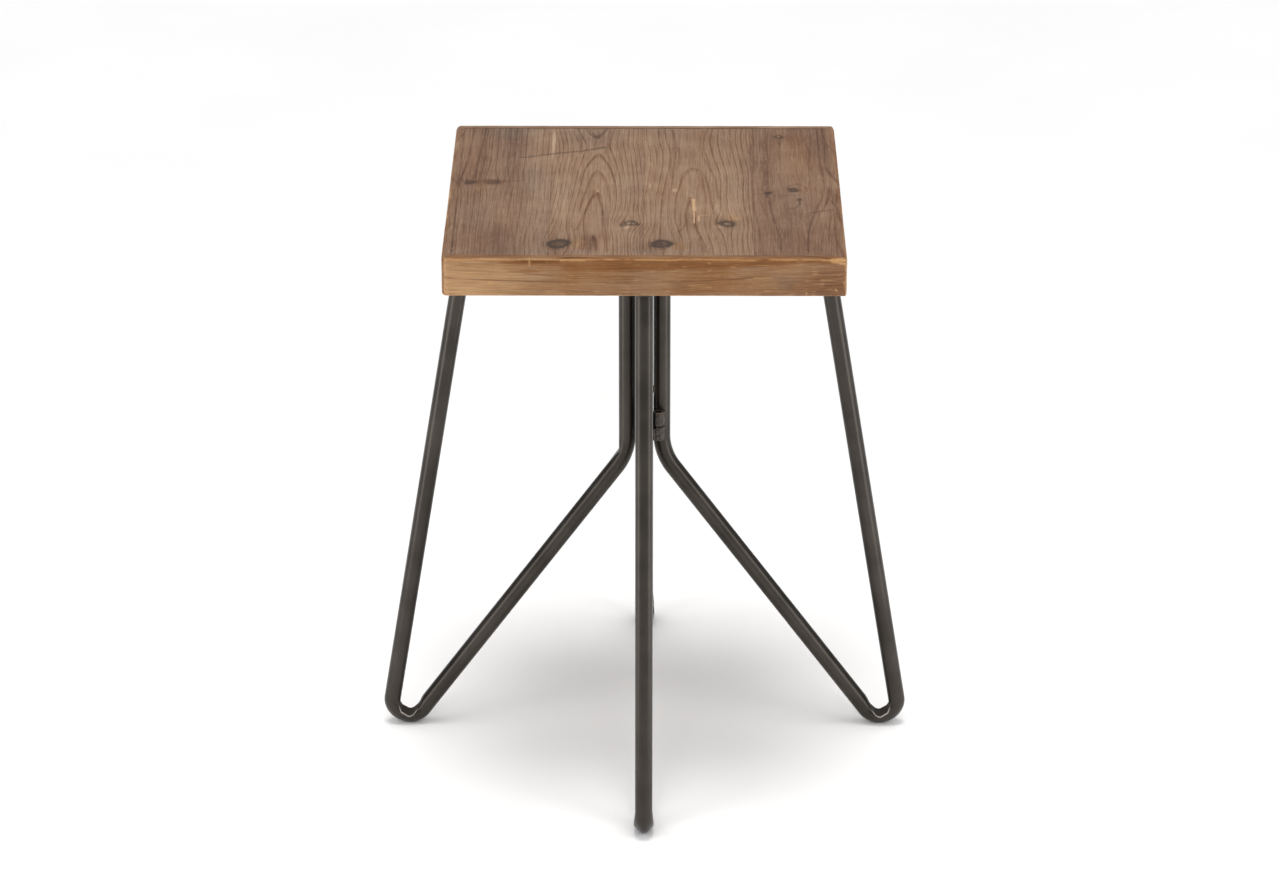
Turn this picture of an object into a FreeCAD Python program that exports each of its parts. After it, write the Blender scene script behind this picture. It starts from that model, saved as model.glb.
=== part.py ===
"""Square lamp table: a built-up plank top on four hairpin legs of bent steel tube.

The origin is on the floor under the middle of the top. +Z is up and the front is -Y.
Every length is in millimetres.
"""
import FreeCAD
import Part
import math
import os

# Overall sizes
table_height = 605.0
top_width = 400.0
top_depth = 400.0
top_thickness = 40.0

# Built-up wooden top: planks on a core board, with mitred strips round the edge
plank_thickness = 18.0
plank_width_shares = (0.25, 0.248, 0.288, 0.214)
edge_strip_thickness = 9.0
corner_round = 8.0
upper_arris_round = 2.0
lower_arris_round = 1.5

# Legs: the column stands by the middle, the arm by the edge, and both meet in the foot's tight bend
tube_diameter = 17.6
tube_wall = 2.0
column_gap = 7.9
knee_height = 313.5
knee_inside_radius = 53.7
foot_inside_radius = 9.1
foot_overhang = 51.2
arm_inset = 19.0

# Straps that carry the tube ends and screw to the underside of the top
strap_width = 25.0
strap_thickness = 3.0
strap_end_margin = 1.0
strap_mitre_gap = 1.0
strap_hole_clearance = 0.5

# Pan head wood screws, placed along the free length of each strap
screw_diameter = 4.5
screw_core_bite = 16.0
screw_tip_length = 4.0
screw_tip_radius = 0.4
screw_head_diameter = 9.0
screw_head_height = 3.0
screw_head_round = 1.8
screw_slot_length = 5.0
screw_slot_width = 1.2
screw_slot_depth = 1.5
screw_pilot_clearance = 0.05
screw_place_shares = (0.25, 0.75)

# Pinned ties: two stacked barrels in the valley between two columns, each welded to one of them
barrel_extra_width = 4.1
barrel_length = 15.5
barrel_spacing = 0.5
barrel_side_clearance = 0.15
barrel_floor = 2.5
barrel_chamfer = 0.6
pin_diameter = 6.0
pin_clearance = 0.05
pin_recess = 3.0
weld_radius = 2.5
weld_offset = 3.0
weld_clearance = 0.02
weld_length_share = 0.8

# Values that follow from the sizes above
tube_radius = tube_diameter / 2
column_radius = (tube_diameter + column_gap) / math.sqrt(2)
top_underside = table_height - top_thickness
strap_underside = top_underside - strap_thickness
core_thickness = top_thickness - plank_thickness
barrel_radius = (column_gap + barrel_extra_width) / 2
origin = FreeCAD.Vector(0, 0, 0)
up = FreeCAD.Vector(0, 0, 1)

# Each side's name, its bearing in degrees, the distance to its edge and half the edge's length
sides = (
    ("right", 0, top_width / 2, top_depth / 2),
    ("back", 90, top_depth / 2, top_width / 2),
    ("left", 180, top_width / 2, top_depth / 2),
    ("front", 270, top_depth / 2, top_width / 2),
)


def in_plane(radius, height):
    """A point of a leg's own plane, by its distance from the middle of the table and its height."""
    return FreeCAD.Vector(radius, 0, height)


def prism(outline, low, high):
    """The upright solid over a closed outline of (x, y) points."""
    corners = [FreeCAD.Vector(x, y, low) for x, y in outline]
    face = Part.Face(Part.makePolygon(corners + corners[:1]))
    return face.extrude(up * (high - low))


def rod(radius, foot, height):
    """An upright cylinder on a foot point."""
    return Part.makeCylinder(radius, height, foot, up)


def turned(shape, bearing):
    """A copy of a shape, turned about the table's upright axis."""
    return shape.rotated(origin, up, bearing)


def rises(edge):
    """Whether an edge is steep rather than level."""
    return edge.BoundBox.ZLength > edge.Length / 2


def rounded_slab():
    """The outer form of the top, with rounded corners and eased arrises."""
    corner = FreeCAD.Vector(-top_width / 2, -top_depth / 2, top_underside)
    slab = Part.makeBox(top_width, top_depth, top_thickness, corner)
    slab = slab.makeFillet(corner_round, [edge for edge in slab.Edges if rises(edge)])
    middle = top_underside + top_thickness / 2
    upper = [edge for edge in slab.Edges if not rises(edge) and edge.CenterOfMass.z > middle]
    slab = slab.makeFillet(upper_arris_round, upper)
    lower = [edge for edge in slab.Edges if not rises(edge) and edge.CenterOfMass.z < middle]
    return slab.makeFillet(lower_arris_round, lower)


def edge_strip(slab, bearing, edge, half_length):
    """A strip along one side of the top, mitred at both ends."""
    inner = edge - edge_strip_thickness
    inner_half = half_length - edge_strip_thickness
    outline = ((edge, -half_length), (edge, half_length), (inner, inner_half), (inner, -inner_half))
    return turned(prism(outline, top_underside, table_height), bearing).common(slab)


def planks():
    """The boards of the top's face, side by side between the strips."""
    half_length = top_depth / 2 - edge_strip_thickness
    full_width = top_width - 2 * edge_strip_thickness
    left = -full_width / 2
    boards = []
    for share in plank_width_shares:
        right = left + share * full_width / sum(plank_width_shares)
        outline = ((left, -half_length), (right, -half_length), (right, half_length), (left, half_length))
        boards.append(prism(outline, top_underside + core_thickness, table_height))
        left = right
    return boards


def core_board(places):
    """The board under the planks, with a pilot hole for each screw."""
    across = top_width - 2 * edge_strip_thickness
    along = top_depth - 2 * edge_strip_thickness
    corner = FreeCAD.Vector(-across / 2, -along / 2, top_underside)
    board = Part.makeBox(across, along, core_thickness, corner)
    pilot_radius = screw_diameter / 2 + screw_pilot_clearance
    pilots = [rod(pilot_radius, place, screw_core_bite) for place in places]
    return board.cut(pilots)


def tangent_point(centre, bend, outside, side):
    """Where a straight from a point outside touches a bend's circle, with side +1 or -1."""
    away = outside - centre
    bearing = math.atan2(away.z, away.x) + side * math.acos(bend / away.Length)
    return centre + in_plane(math.cos(bearing), math.sin(bearing)) * bend


def leg_path(edge):
    """A leg's centre line: down the arm, round the foot, up the diagonal and up the column."""
    foot_bend = foot_inside_radius + tube_radius
    knee_bend = knee_inside_radius + tube_radius
    foot_centre = in_plane(edge + foot_overhang, tube_radius + foot_bend)
    foot_low = foot_centre - up * foot_bend
    arm_end = in_plane(edge - arm_inset, strap_underside)
    knee = in_plane(column_radius, knee_height)
    foot_out = tangent_point(foot_centre, foot_bend, arm_end, -1)
    foot_in = tangent_point(foot_centre, foot_bend, knee, 1)
    arm_slope = (arm_end - foot_out).normalize()
    diagonal = (knee - foot_in).normalize()
    knee_run = knee_bend * math.tan(math.acos(diagonal.z) / 2)
    knee_low = knee - diagonal * knee_run
    knee_high = knee + up * knee_run
    knee_centre = knee_high + in_plane(knee_bend, 0)
    knee_middle = knee_centre + (knee - knee_centre).normalize() * knee_bend
    column_end = in_plane(column_radius, strap_underside)
    overrun = tube_diameter
    return Part.Wire([
        Part.LineSegment(arm_end + arm_slope * overrun, foot_out).toShape(),
        Part.Arc(foot_out, foot_low, foot_in).toShape(),
        Part.LineSegment(foot_in, knee_low).toShape(),
        Part.Arc(knee_low, knee_middle, knee_high).toShape(),
        Part.LineSegment(knee_high, column_end + up * overrun).toShape(),
    ])


def swept(path, radius):
    """A round bar along a path."""
    first = path.OrderedEdges[0]
    start = first.valueAt(first.FirstParameter)
    heading = first.tangentAt(first.FirstParameter)
    return path.makePipeShell([Part.Wire(Part.makeCircle(radius, start, heading))], True, False)


def below_straps(shape):
    """A leg shape with both ends cut level at the underside of the straps."""
    box = shape.BoundBox
    corner = FreeCAD.Vector(box.XMin - tube_diameter, box.YMin - tube_diameter, strap_underside)
    spare = 2 * tube_diameter
    return shape.cut(Part.makeBox(box.XLength + spare, box.YLength + spare, box.ZLength, corner))


def leg(edge, bearing):
    """One leg of bent tube."""
    path = leg_path(edge)
    tube = swept(path, tube_radius).cut(swept(path, tube_radius - tube_wall))
    return turned(below_straps(tube), bearing)


def screw_radii(edge):
    """How far from the middle a strap's screws stand, between the column and the arm."""
    near = column_radius + tube_radius
    far = edge - arm_inset - tube_radius
    return [near + share * (far - near) for share in screw_place_shares]


def strap(edge, bearing):
    """A flat strap from the middle to the arm, mitred to a point where the four meet."""
    half = strap_width / 2
    tip = strap_mitre_gap / math.sqrt(2)
    end = edge - arm_inset + tube_radius + strap_end_margin
    outline = ((tip, 0), (tip + half, -half), (end, -half), (end, half), (tip + half, half))
    bar = prism(outline, strap_underside, top_underside)
    hole_radius = screw_diameter / 2 + strap_hole_clearance
    hole_feet = [in_plane(radius, strap_underside) for radius in screw_radii(edge)]
    holes = [rod(hole_radius, foot, strap_thickness) for foot in hole_feet]
    return turned(bar.cut(holes), bearing)


def screw(place):
    """A screw driven up through a strap, with its seat under the strap and a cross slot in its head."""
    seat = place - up * strap_thickness
    head_foot = seat - up * screw_head_height
    shank_length = strap_thickness + screw_core_bite - screw_tip_length
    head = rod(screw_head_diameter / 2, head_foot, screw_head_height)
    middle = seat.z - screw_head_height / 2
    rim = [edge for edge in head.Edges if not rises(edge) and edge.CenterOfMass.z < middle]
    head = head.makeFillet(screw_head_round, rim)
    shank = rod(screw_diameter / 2, seat, shank_length)
    tip_foot = seat + up * shank_length
    tip = Part.makeCone(screw_diameter / 2, screw_tip_radius, screw_tip_length, tip_foot, up)
    half_long = screw_slot_length / 2
    half_wide = screw_slot_width / 2
    slots = []
    for across, along in ((half_long, half_wide), (half_wide, half_long)):
        corner = head_foot - FreeCAD.Vector(across, along, 0)
        slots.append(Part.makeBox(2 * across, 2 * along, screw_slot_depth, corner))
    return head.fuse([shank, tip]).cut(slots).removeSplitter()


def screw_places():
    """Where each screw enters the underside of the top."""
    places = []
    for _, bearing, edge, _ in sides:
        turn = FreeCAD.Rotation(up, bearing)
        for radius in screw_radii(edge):
            places.append(turn.multVec(in_plane(radius, top_underside)))
    return places


def tie_axis():
    """A tie's upright axis on the floor, in the valley between the right and the front column."""
    reach = tube_radius + barrel_radius + barrel_side_clearance
    inward = (column_radius + math.sqrt(2 * reach ** 2 - column_radius ** 2)) / 2
    return FreeCAD.Vector(inward, -inward, 0)


def tie_barrel(foot, column, bore_foot, envelopes):
    """A barrel on a foot point, welded to one column and cut to fit the tubes beside it."""
    barrel = rod(barrel_radius, foot, barrel_length)
    barrel = barrel.makeChamfer(barrel_chamfer, [edge for edge in barrel.Edges if not rises(edge)])
    level_column = FreeCAD.Vector(column.x, column.y, foot.z)
    across = (foot - level_column).normalize()
    contact = level_column + across * tube_radius
    outward = across.cross(up)
    if outward.dot(foot) < 0:
        outward = outward * -1
    weld_length = weld_length_share * barrel_length
    weld_foot = contact + outward * weld_offset + up * (barrel_length - weld_length) / 2
    body = barrel.fuse(rod(weld_radius, weld_foot, weld_length))
    bore = rod(pin_diameter / 2 + pin_clearance, bore_foot, 2 * barrel_length)
    return body.cut(envelopes + [bore]).removeSplitter()


def tie(bearing):
    """A tie's lower barrel, upper barrel and pin."""
    right = next(edge for name, _, edge, _ in sides if name == "right")
    front = next(edge for name, _, edge, _ in sides if name == "front")
    envelopes = [
        swept(leg_path(right), tube_radius + weld_clearance),
        turned(swept(leg_path(front), tube_radius + weld_clearance), 270),
    ]
    knee_bend_top = leg_path(right).OrderedEdges[-1].BoundBox.ZMin
    lower_foot = tie_axis() + up * knee_bend_top
    upper_foot = lower_foot + up * (barrel_length + barrel_spacing)
    pin_foot = lower_foot + up * barrel_floor
    pin_top = upper_foot.z + barrel_length - pin_recess
    front_column = FreeCAD.Vector(0, -column_radius, 0)
    right_column = FreeCAD.Vector(column_radius, 0, 0)
    pieces = {
        "lower_barrel": tie_barrel(lower_foot, front_column, pin_foot, envelopes),
        "upper_barrel": tie_barrel(upper_foot, right_column, upper_foot, envelopes),
        "pin": rod(pin_diameter / 2, pin_foot, pin_top - pin_foot.z),
    }
    return {name: turned(shape, bearing) for name, shape in pieces.items()}


def pieces():
    """Every piece of the table, by name."""
    slab = rounded_slab()
    places = screw_places()
    named = {"top_core_board": core_board(places)}
    for number, board in enumerate(planks(), 1):
        named[f"top_plank_{number}"] = board
    for name, bearing, edge, half_length in sides:
        named[f"edge_strip_{name}"] = edge_strip(slab, bearing, edge, half_length)
        named[f"leg_tube_{name}"] = leg(edge, bearing)
        named[f"leg_strap_{name}"] = strap(edge, bearing)
    named["strap_screws"] = Part.makeCompound([screw(place) for place in places])
    for corner, bearing in (("front_right", 0), ("back_left", 180)):
        for name, shape in tie(bearing).items():
            named[f"tie_{corner}_{name}"] = shape
    return named


os.makedirs("parts", exist_ok=True)
for node, shape in pieces().items():
    shape.exportStep(f"parts/{node}.step")
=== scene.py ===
"""A square lamp table: weathered pine boards with worn edging, on hairpin legs of bent steel tube.

Lengths are in metres, in the frame of the solid model: +Z up, the front edge of the top towards -Y.
Tables of the marks on the wood are in millimetres.
"""
from math import cos, radians, sin

import bpy
import numpy as np
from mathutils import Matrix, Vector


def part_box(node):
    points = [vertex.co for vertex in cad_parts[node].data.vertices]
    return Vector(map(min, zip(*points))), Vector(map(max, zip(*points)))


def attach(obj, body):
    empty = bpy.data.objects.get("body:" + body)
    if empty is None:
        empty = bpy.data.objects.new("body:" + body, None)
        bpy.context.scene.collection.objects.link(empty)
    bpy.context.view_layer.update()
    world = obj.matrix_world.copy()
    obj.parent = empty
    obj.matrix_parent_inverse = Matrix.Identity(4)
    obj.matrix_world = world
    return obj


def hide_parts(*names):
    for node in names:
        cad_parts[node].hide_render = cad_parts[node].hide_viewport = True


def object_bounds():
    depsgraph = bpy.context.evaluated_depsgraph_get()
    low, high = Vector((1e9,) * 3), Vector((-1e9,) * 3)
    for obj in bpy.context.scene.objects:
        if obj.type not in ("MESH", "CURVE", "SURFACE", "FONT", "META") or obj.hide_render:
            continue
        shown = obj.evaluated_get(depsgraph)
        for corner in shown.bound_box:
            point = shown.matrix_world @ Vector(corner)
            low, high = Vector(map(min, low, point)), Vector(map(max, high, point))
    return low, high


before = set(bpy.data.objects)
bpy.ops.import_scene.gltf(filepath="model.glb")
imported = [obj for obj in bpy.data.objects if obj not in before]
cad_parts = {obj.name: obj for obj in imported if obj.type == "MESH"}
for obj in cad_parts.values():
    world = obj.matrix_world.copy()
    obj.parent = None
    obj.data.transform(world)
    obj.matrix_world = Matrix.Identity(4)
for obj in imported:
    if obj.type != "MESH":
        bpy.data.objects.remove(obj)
cad_low, cad_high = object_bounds()

# Sizes read from the solid model
tube_low, tube_high = (np.array(corner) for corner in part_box("leg_tube_right"))
strap_low, strap_high = (np.array(corner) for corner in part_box("leg_strap_right"))
underside, top_height = (corner[2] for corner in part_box("edge_strip_front"))
slab_thickness = top_height - underside
half_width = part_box("edge_strip_right")[1][0]
half_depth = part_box("edge_strip_back")[1][1]
edging_thickness = half_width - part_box("edge_strip_right")[0][0]
tube_radius = (tube_high[1] - tube_low[1]) / 2
column_radius = tube_low[0] + tube_radius

# Bends of a leg, as in the solid model, and where its arm meets the strap
foot_bend = 0.0179
knee_bend = 0.0625
knee_height = 0.3135
strap_end_margin = 0.001
arm_radius = strap_high[0] - strap_end_margin - tube_radius

# Folded feet: where round the bend each facet of the fold faces, and its distance from the bend's centre.
# Round the bend the tube widens, its inside fills out and its outside draws to a keel
foot_facets = ((0.2, 0.0113), (0.43, 0.0132), (0.65, 0.0151), (0.84, 0.0139))
fold_widening_share = 0.17
fold_keel_share = 0.42
fold_lip = 0.0008
# At the bend's end the diagonal is pressed in this far, and it fills out again over this length
foot_press = 0.0024
foot_press_run = 0.014
sharp_knees = ("left",)

# Points of the skins: boards, edging, round a tube, along a leg's runs and bends, and welds
board_columns = 220
board_rows = 300
edging_rows = 440
tube_points = 96
run_points = 60
foot_points = 61
knee_points = 31
bead_rings = 48
bead_points = 20
ring_weld_points = 12

# The photograph's width in pixels, and the camera fitted to it, with its sensor in millimetres
image_width = 1279
focal_pixels = 4802.1
sensor_width = 36
camera_place = (0.01314, -4.62291, 2.27043)
camera_pitch = radians(22.812)
camera_yaw = radians(-0.229)

# Strength of the white surround overhead and near the horizon, and the rise over which it changes
high_surround = 0.66
low_surround = 0.28
surround_rise = (0.4, 0.75)
# The soft sun, and how far the floor reaches
sun_strength = 1.35
sun_spread = radians(22)
sun_tilt = radians(3)
floor_reach = 9

# Bearing of each side, counted from +X
bearings = {"right": 0, "back": 90, "left": 180, "front": 270}

# Unit of the tables of marks
mm = 0.001


def ease(low, high, value):
    """An eased ramp from 0 at low to 1 at high."""
    share = np.clip((value - low) / (high - low), 0, 1)
    return share * share * (3 - 2 * share)


def noise(x, y, cell_x, cell_y, seed, cells=64):
    """Seeded noise from 0 to 1: random heights on a lattice of cells, eased between neighbours."""
    lattice = np.random.default_rng(seed).random((cells, cells))
    across, along = np.broadcast_arrays(x / cell_x, y / cell_y)
    column, row = np.floor(across).astype(int), np.floor(along).astype(int)
    aside, ahead = ease(0, 1, across - column), ease(0, 1, along - row)
    left, right = column % cells, (column + 1) % cells
    below, above = row % cells, (row + 1) % cells
    near = lattice[left, below] * (1 - aside) + lattice[right, below] * aside
    far = lattice[left, above] * (1 - aside) + lattice[right, above] * aside
    return near * (1 - ahead) + far * ahead


def eased_curve(points, x):
    """A smooth curve through a few (place, value) points: cubic spans with the neighbours' slopes."""
    places, values = np.array(sorted(points)).T
    slopes = np.gradient(values, places)
    left = np.clip(np.searchsorted(places, x) - 1, 0, len(places) - 2)
    right = left + 1
    span = places[right] - places[left]
    share = np.clip((x - places[left]) / span, 0, 1)
    rest = 1 - share
    lead = (1 + 2 * share) * rest ** 2 * values[left] + share * share * (3 - 2 * share) * values[right]
    return lead + span * (share * rest ** 2 * slopes[left] - share * share * rest * slopes[right])


def segment_distance(x, y, start, end):
    """Distance of points from a straight segment."""
    start, end = np.array(start), np.array(end)
    along = end - start
    share = np.clip(((x - start[0]) * along[0] + (y - start[1]) * along[1]) / (along @ along), 0, 1)
    return np.hypot(x - start[0] - share * along[0], y - start[1] - share * along[1])


def turned(points, bearing):
    """Points turned about the table's upright axis by a bearing in degrees."""
    along_x, along_y = cos(radians(bearing)), sin(radians(bearing))
    return points @ np.array([[along_x, along_y, 0], [-along_y, along_x, 0], [0, 0, 1]])


def circle(count):
    """Angles of points spread evenly round a circle."""
    return np.linspace(0, 2 * np.pi, count, endpoint=False)


def add_object(name, data):
    """A new object in the scene that shows the data."""
    made = bpy.data.objects.new(name, data)
    bpy.context.scene.collection.objects.link(made)
    return made


def skin(name, loops, finish, nodes=(), fields=None, crease=40, endless=False):
    """A closed piece from an (n, m, 3) array: n closed loops of m points joined in order.

    The first and the last loop get caps, or are joined to each other where the piece is endless.
    """
    count, around, _ = loops.shape
    index = np.arange(count * around).reshape(count, around)
    beside = np.roll(index, -1, axis=1)
    rows = np.arange(count if endless else count - 1)
    following = (rows + 1) % count
    quads = np.stack([index[rows], beside[rows], beside[following], index[following]], -1).reshape(-1, 4)
    faces = quads.tolist() + ([] if endless else [index[0][::-1].tolist(), index[-1].tolist()])
    points = loops.reshape(-1, 3)
    # Seen from the middle, sides that face outwards span a positive volume
    first, second, third, fourth = np.moveaxis((points - points.mean(axis=0))[quads], 1, 0)
    if np.einsum("ij,ij->", first, np.cross(second - fourth, third)) < 0:
        faces = [face[::-1] for face in faces]
    mesh = bpy.data.meshes.new(name)
    mesh.from_pydata(points.tolist(), [], faces, shade_flat=False)
    mesh.validate()
    mesh.set_sharp_from_angle(angle=radians(crease))
    for field, values in (fields or {}).items():
        attribute = mesh.attributes.new(field, "FLOAT", "POINT")
        attribute.data.foreach_set("value", values.astype(np.float32).ravel())
    mesh.materials.append(finish)
    piece = add_object(name, mesh)
    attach(piece, "root")
    if nodes:
        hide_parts(*nodes)


class Value:
    """A shader socket: arithmetic on it adds Math nodes to its tree."""

    def __init__(self, tree, socket):
        self.tree = tree
        self.socket = socket

    def math(self, operation, *others):
        return self.tree.node("ShaderNodeMath", {"operation": operation}, dict(enumerate((self,) + others)))

    def __add__(self, other):
        return self.math("ADD", other)

    __radd__ = __add__

    def __mul__(self, other):
        return self.math("MULTIPLY", other)

    __rmul__ = __mul__

    def __sub__(self, other):
        return self.math("SUBTRACT", other)

    def __rsub__(self, other):
        return self.math("MULTIPLY", -1).math("ADD", other)

    def ramp(self, low, high, start=0, end=1):
        """An eased ramp of the value from start at low to end at high."""
        sockets = {"Value": self, "From Min": low, "From Max": high, "To Min": start, "To Max": end}
        return self.tree.node("ShaderNodeMapRange", {"interpolation_type": "SMOOTHSTEP"}, sockets)


class ShaderTree:
    """The nodes of a material or of the surround."""

    def __init__(self, owner):
        owner.use_nodes = True
        self.nodes = owner.node_tree.nodes
        self.links = owner.node_tree.links

    def node(self, kind, settings=None, sockets=None, output=0):
        """Adds a node, sets its settings first, then gives its sockets values or links."""
        made = self.nodes.new(kind)
        for name, setting in (settings or {}).items():
            setattr(made, name, setting)
        for key, value in (sockets or {}).items():
            self.feed(made.inputs[key], value)
        return Value(self, made.outputs[output])

    def feed(self, socket, value):
        if isinstance(value, Value):
            self.links.new(value.socket, socket)
        else:
            socket.default_value = value


class Finish(ShaderTree):
    """A material being put together from shader nodes."""

    def __init__(self, name):
        self.material = bpy.data.materials.new(name)
        super().__init__(self.material)
        self.shader = self.nodes["Principled BSDF"]

    def set(self, **sockets):
        """Feeds the shader's own sockets, with _ for a space in a socket's name."""
        for key, value in sockets.items():
            self.feed(self.shader.inputs[key.replace("_", " ")], value)

    def field(self, name):
        """A number stored on the points of the piece."""
        return self.node("ShaderNodeAttribute", {"attribute_name": name}, output="Fac")

    def place(self, scale):
        """Object coordinates, each axis multiplied by its own scale."""
        coordinates = self.node("ShaderNodeTexCoord", output="Object")
        return self.node("ShaderNodeVectorMath", {"operation": "MULTIPLY"}, {0: coordinates, 1: scale})

    def axis(self, letter):
        """One object coordinate."""
        return self.node("ShaderNodeSeparateXYZ", {}, {0: self.place((1, 1, 1))}, output=letter)

    def noise(self, scale, detail=3, roughness=0.5):
        """Noise with a scale for each axis, or one for all."""
        scales = (scale,) * 3 if np.isscalar(scale) else scale
        sockets = {"Vector": self.place(scales), "Scale": 1.0, "Detail": detail, "Roughness": roughness}
        return self.node("ShaderNodeTexNoise", {}, sockets)

    def grain(self, axes, across, along, detail=3, roughness=0.6):
        """Noise with one scale across the grain and another along it."""
        scales = [across * off_axis + along * on_axis for off_axis, on_axis in zip(*axes)]
        return self.noise(scales, detail, roughness)

    def blend(self, share, first, second):
        """Two colours mixed by a share of the second."""
        sockets = {0: share, 6: first, 7: second}
        settings = {"data_type": "RGBA", "clamp_factor": True}
        return self.node("ShaderNodeMix", settings, sockets, output=2)

    def palette(self, shade, *colours):
        """Screen colours spread evenly over a shade from 0 to 1."""
        made = self.node("ShaderNodeValToRGB", {}, {0: shade})
        elements = made.socket.node.color_ramp.elements
        while len(elements) < len(colours):
            elements.new(1.0)
        for element, place, colour in zip(elements, np.linspace(0, 1, len(colours)), colours):
            element.position = place
            element.color = tint(*colour)
        return made

    def bump(self, height, strength, distance):
        sockets = {"Height": height, "Strength": strength, "Distance": distance}
        return self.node("ShaderNodeBump", {}, sockets)


def tint(red, green, blue):
    """A colour given in screen values from 0 to 255, as linear light."""
    screen = np.array([red, green, blue]) / 255
    linear = np.where(screen > 0.04045, ((screen + 0.055) / 1.055) ** 2.4, screen / 12.92)
    return (*linear.tolist(), 1.0)


def pine_finish(name, grain, streaks_across, streaks_along):
    """Weathered pine. A shade is summed from rings, streaks and fibres, and picks a grey and a warm colour.

    Fields of the piece: ring counts growth rings, late is the share of a ring that is dark, figure says how
    strongly rings show, weather turns warm wood grey and past 1 silvers it, tone lightens, stain lays on
    the dark of knots, red reddens heartwood, and bare lays fresh wood open. Pale and dark dust lies in
    short streaks along the grain.
    """
    pine = Finish(name)
    names = ("ring", "late", "figure", "weather", "tone", "stain", "red", "bare")
    ring, late, figure, weather, tone, stain, red, bare = (pine.field(field) for field in names)
    fibre = pine.grain(grain, 1000, 25)
    streak = pine.grain(grain, streaks_across, streaks_along)
    band = pine.grain(grain, 75, 3.5, detail=2, roughness=0.5)
    patch = pine.noise(30, detail=4, roughness=0.6)
    grit = pine.noise(1300, detail=2)
    dust = pine.grain(grain, 620, 70, detail=4, roughness=0.65)
    turn = ring.math("FRACT")
    sockets = {"W": ring * 0.83, "Scale": 1.0}
    each_ring = pine.node("ShaderNodeTexNoise", {"noise_dimensions": "1D"}, sockets)
    strength = each_ring.ramp(0.32, 0.66, 0.4, 1.0) * patch.ramp(0.3, 0.7, 0.55, 1.0)
    vein = turn.ramp(1 - late, 1 - late * 0.2) * turn.ramp(1 - late * 0.15, 1.0, 1, 0) * strength * figure
    ridge = turn.ramp(0, 0.3, 1, 0) * strength * figure
    shade = 0.57 + vein * 0.42 - ridge * 0.12 + (streak - 0.5) * (0.2 + figure * 0.22)
    shade = shade + (fibre - 0.5) * 0.62 + (band - 0.5) * 0.24 + (patch - 0.5) * 0.32 - tone * 0.34
    grey = pine.palette(shade, (190, 166, 141), (166, 140, 117), (145, 118, 97),
                        (121, 92, 74), (93, 68, 55))
    warm = pine.palette(shade, (207, 166, 122), (183, 144, 104), (152, 115, 80),
                        (130, 88, 53), (88, 58, 36))
    silver = pine.palette(shade, (184, 168, 148), (158, 141, 123), (134, 117, 101),
                          (108, 93, 80), (82, 69, 60))
    wood = pine.blend(weather - vein * 0.3, warm, grey)
    wood = pine.blend(weather - 1, wood, silver)
    wood = pine.blend(dust.ramp(0.56, 0.74, 0, 0.34), wood, tint(192, 170, 146))
    wood = pine.blend(dust.ramp(0.28, 0.42, 0.3, 0), wood, tint(86, 64, 52))
    wood = pine.blend(red * 0.42, wood, tint(125, 77, 34))
    ash = fibre * 0.7 + grit * 0.5 - 0.1
    char = pine.palette(ash, (52, 41, 34), (74, 59, 50), (102, 85, 74))
    wood = pine.blend(stain, wood, char)
    torn = streak * 0.6 + fibre * 0.4
    fresh = pine.palette(torn, (216, 174, 124), (190, 145, 96), (148, 100, 60))
    pale = pine.palette(torn, (220, 187, 154), (200, 164, 131), (164, 126, 98))
    wood = pine.blend(bare, wood, pine.blend(weather, fresh, pale))
    relief = fibre * 0.6 + streak * 0.5 + grit * 0.15 - vein * 0.3
    pine.set(Base_Color=wood, Roughness=fibre.ramp(0.2, 0.8, 0.62, 0.82))
    pine.set(Normal=pine.bump(relief, 0.3, 0.0006), Specular_IOR_Level=0.22)
    return pine.material


def bronze_finish():
    """Satin bronze paint with metal flake: a fine orange peel, cloudy tone and a soft sheen.

    Fields of the piece: folded is painted shade inside a fold, and the other a painted highlight on its lip.
    """
    finish = Finish("bronze_paint")
    peel = finish.noise(800, detail=2)
    cloud = finish.noise(22, detail=4)
    fleck = finish.noise(2600, detail=1)
    # Painted highlight along a fold's lip, patchy with the cloud
    wear_and_painted_glint = finish.field("wear_and_painted_glint") * cloud.ramp(0.25, 0.55, 0.6, 1.0)
    # Painted shade inside a fold, stored on the piece as folded
    folded = finish.field("folded")
    colour = finish.blend(cloud.ramp(0.3, 0.7), tint(57, 53, 49), tint(71, 66, 61))
    colour = finish.blend(fleck.ramp(0.62, 0.8, 0, 0.3), colour, tint(116, 109, 100))
    # Painted shade: darker paint inside a fold
    colour = finish.blend(folded * 0.8, colour, tint(40, 35, 32))
    # Painted highlight: pale paint along the fold's lip
    colour = finish.blend(wear_and_painted_glint, colour, tint(226, 218, 209))
    # The painted highlight and the painted shade also make the paint less metallic, and the shade rougher
    finish.set(Base_Color=colour, Metallic=wear_and_painted_glint * -0.55 + folded * -0.8 + 0.85)
    finish.set(Roughness=cloud.ramp(0.25, 0.75, 0.3, 0.38) + folded * 0.5)
    finish.set(Normal=finish.bump(peel, 0.1, 0.0003))
    return finish.material


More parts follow.
